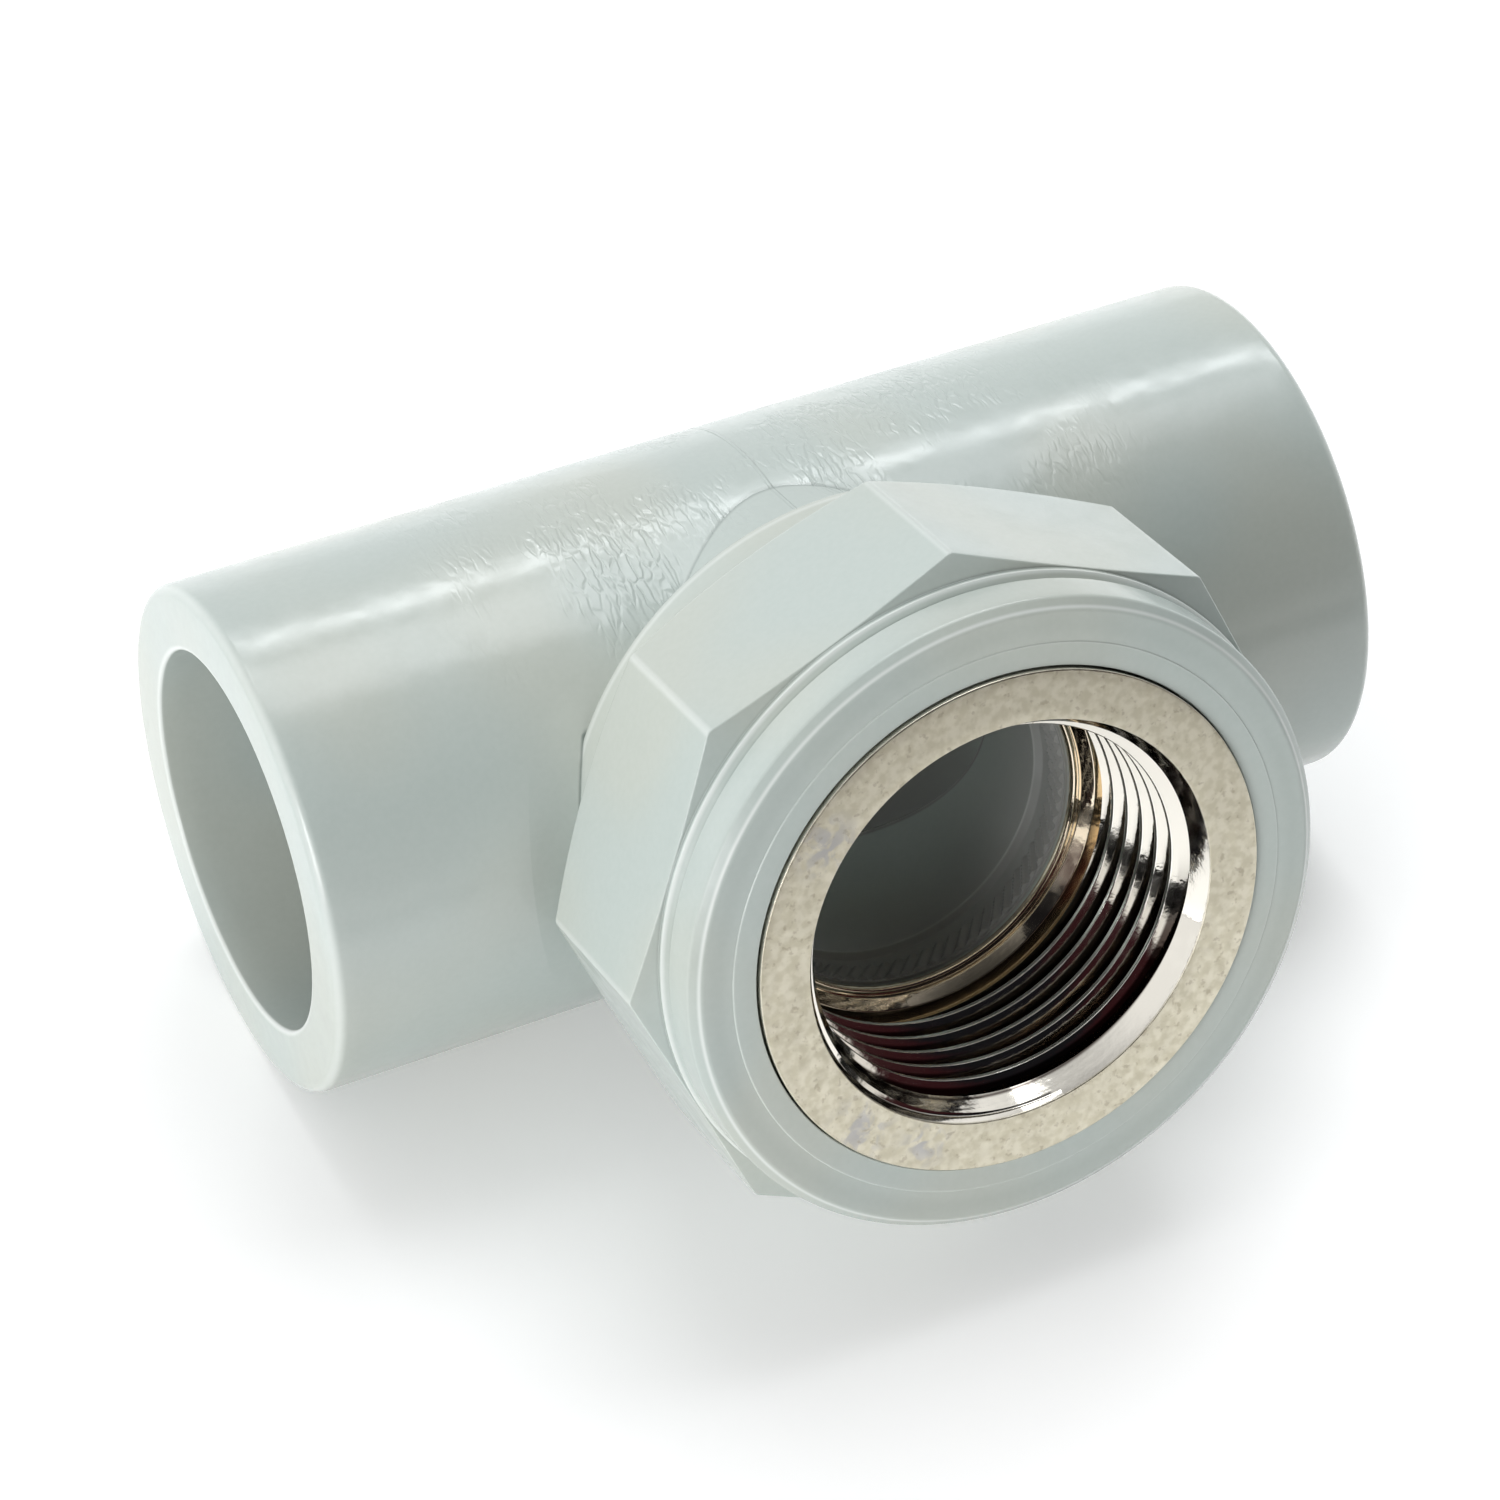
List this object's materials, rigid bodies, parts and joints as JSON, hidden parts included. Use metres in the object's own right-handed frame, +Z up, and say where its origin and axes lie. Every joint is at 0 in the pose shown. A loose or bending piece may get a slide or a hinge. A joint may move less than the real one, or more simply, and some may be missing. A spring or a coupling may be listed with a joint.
{
  "type": "threaded branch pipe tee",
  "caption": "Moulded pipe tee with plain sockets on the run and an octagonal branch that holds a plated metal bush with an internal pipe thread.",
  "frame": {"origin": "middle of the footprint box, on the table that the fitting lies on", "axes": "+X along the straight run, -Y towards the branch mouth, +Z up; the branch axis rises 16.3 degrees towards its mouth"},
  "size_m": [0.0722, 0.0558, 0.0471],
  "materials": {
    "grey_plastic": "semi-gloss moulded pale grey with a green tint",
    "nickel_plated_brass": "nickel plated, warm silver, fine speckle and tool lines",
    "black_rubber": "matt black elastomer"
  },
  "bodies": {
    "root": {"tee_body": "grey_plastic", "threaded_insert": "nickel_plated_brass", "seal_ring": "black_rubber"}
  },
  "joints": []
}
